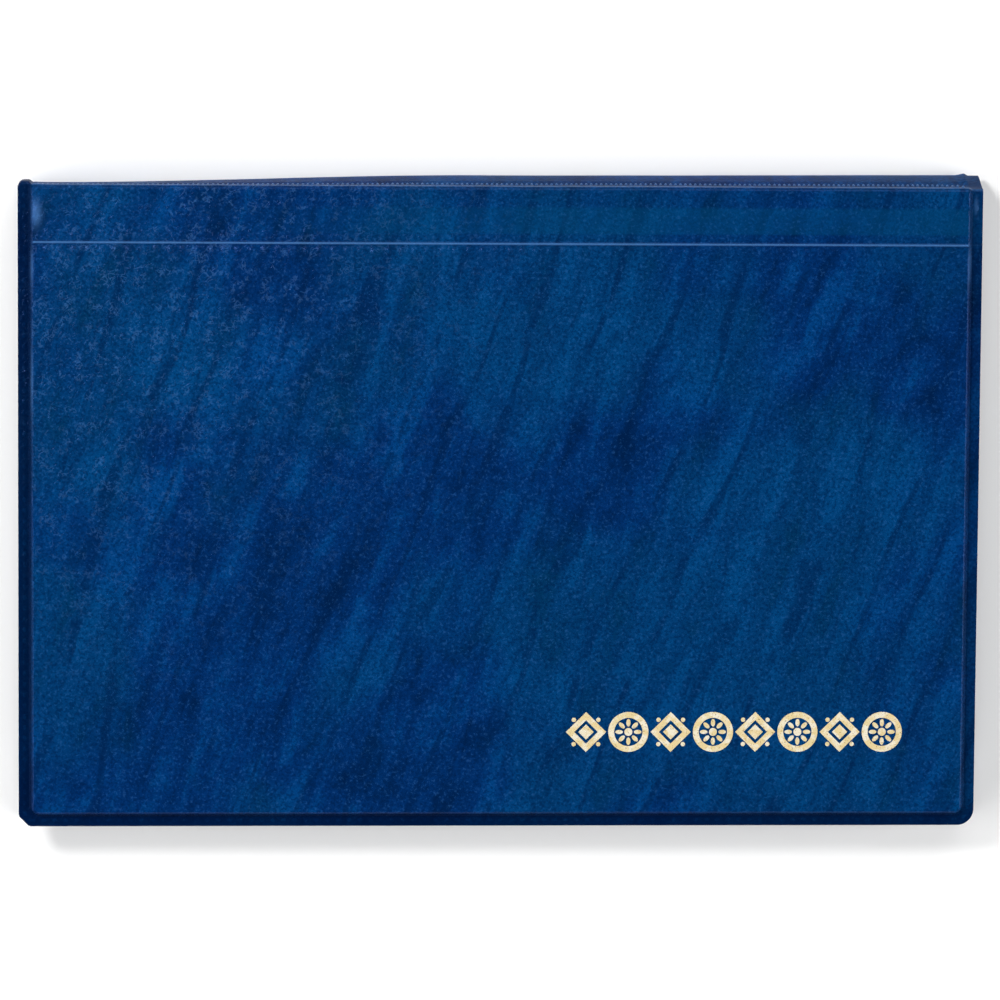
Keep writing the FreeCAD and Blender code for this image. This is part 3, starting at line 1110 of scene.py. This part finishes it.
class ALBUM_OT_stage(bpy.types.Operator):
    """Build the floor, the lights and the camera"""

    bl_idname = "album.stage"
    bl_label = "Stage"

    def execute(self, context):
        self.floor()
        self.lights()
        self.camera()
        scene = context.scene
        scene.view_settings.view_transform = "Standard"
        scene.cycles.transparent_max_bounces = 64
        return {"FINISHED"}

    def floor(self):
        """Matt paper sweep, just below the swell of the back cover."""
        material = finish_material(new_material("matt_paper_sweep")[0], {
            "Base Color": settings("stage").floor, "Roughness": 0.9, "Specular IOR Level": 0.1})
        swell = 0.25 * MM
        bm = bmesh.new()
        bmesh.ops.create_grid(bm, x_segments=4, y_segments=4, size=1.0)
        bmesh.ops.translate(bm, vec=(0, 0, -swell), verts=bm.verts[:])
        finish_mesh(bm, "floor", material)

    def lights(self):
        """Soft boxes around and above; none where its mirror image would lie on the cover."""
        # Name, place, width in metres and power in watts
        boxes = (
            ("key_softbox", (-0.475, 0.435, 0.74), 0.22, 5.5),
            ("top_softbox", (0.30, 1.50, 0.78), 1.0, 11.5),
            ("right_softbox", (1.50, -0.15, 0.85), 1.0, 21.0),
            ("foot_softbox", (0.0, -1.50, 0.72), 1.0, 9.5),
            ("left_softbox", (-1.50, -0.30, 0.80), 1.0, 17.5),
        )
        for name, place, size, power in boxes:
            light = bpy.data.lights.new(name, "AREA")
            light.shape = "SQUARE"
            light.size = size
            light.energy = power
            lamp = bpy.data.objects.new(name, light)
            lamp.location = place
            lamp.rotation_euler = (-Vector(place)).to_track_quat("-Z", "Y").to_euler()
            bpy.context.scene.collection.objects.link(lamp)
        world = bpy.data.worlds.new("studio")
        world.use_nodes = True
        tree = world.node_tree
        tree.nodes.clear()
        # The backdrop looks pale past the floor's edge, but adds next to no light of its own
        seen = add_node(tree, "LightPath", output="Is Camera Ray")
        glow = add_node(tree, "Math", {0: seen, 1: 0.98, 2: 0.02}, operation="MULTIPLY_ADD")
        backdrop = add_node(tree, "Background", {
            "Color": hex_colour("#FFFFFF"), "Strength": glow})
        add_node(tree, "OutputWorld", {"Surface": backdrop})
        bpy.context.scene.world = world

    def camera(self):
        """A long lens almost straight above the cover, aimed near the middle of the album."""
        stage = settings("stage")
        target = Vector((0.15 * MM, 0.33 * MM, 5.7 * MM))
        flat = math.cos(stage.elevation)
        out = Vector((flat * math.sin(stage.azimuth), flat * math.cos(stage.azimuth),
                      math.sin(stage.elevation)))
        forward = -out
        right = forward.cross(Vector((0, 1, 0))).normalized()
        turned = Matrix.Rotation(-stage.roll, 3, forward) @ right
        up = turned.cross(forward)
        data = bpy.data.cameras.new("album_camera")
        data.angle = stage.view_angle
        data.clip_start = 0.01
        camera = bpy.data.objects.new("album_camera", data)
        axes = Matrix((turned, up, out)).transposed().to_4x4()
        camera.matrix_world = Matrix.Translation(target + out * stage.distance) @ axes
        bpy.context.scene.collection.objects.link(camera)
        bpy.context.scene.camera = camera


OPERATORS = (
    ALBUM_OT_outer_vinyl,
    ALBUM_OT_weld_rows,
    ALBUM_OT_linings,
    ALBUM_OT_boards,
    ALBUM_OT_binding_strip,
    ALBUM_OT_leaves,
    ALBUM_OT_foil,
    ALBUM_OT_stage,
)

SETTINGS = (
    ("cover", AlbumCoverSettings),
    ("leaf", AlbumLeafSettings),
    ("foil", AlbumFoilSettings),
    ("stage", AlbumStageSettings),
)


class ALBUM_PT_sidebar(bpy.types.Panel):
    """Lists the album's settings and the operators that build it"""

    bl_label = "Banknote album"
    bl_idname = "ALBUM_PT_sidebar"
    bl_space_type = "VIEW_3D"
    bl_region_type = "UI"
    bl_category = "Album"

    def draw(self, context):
        for name, group in SETTINGS:
            box = self.layout.box()
            box.label(text=name.capitalize())
            for key in group.__annotations__:
                box.prop(settings(name), key)
        for operator in OPERATORS:
            self.layout.operator(operator.bl_idname)


def register():
    for name, group in SETTINGS:
        bpy.utils.register_class(group)
        setattr(bpy.types.Scene, "album_" + name, PointerProperty(type=group))
    for item in (*OPERATORS, ALBUM_PT_sidebar):
        bpy.utils.register_class(item)


def unregister():
    for item in (ALBUM_PT_sidebar, *reversed(OPERATORS)):
        bpy.utils.unregister_class(item)
    for name, group in reversed(SETTINGS):
        delattr(bpy.types.Scene, "album_" + name)
        bpy.utils.unregister_class(group)


def main():
    register()
    bpy.ops.album.outer_vinyl()
    bpy.ops.album.weld_rows()
    bpy.ops.album.linings()
    bpy.ops.album.boards()
    bpy.ops.album.binding_strip()
    bpy.ops.album.leaves()
    bpy.ops.album.foil()
    bpy.ops.album.stage()


if __name__ == "__main__":
    main()
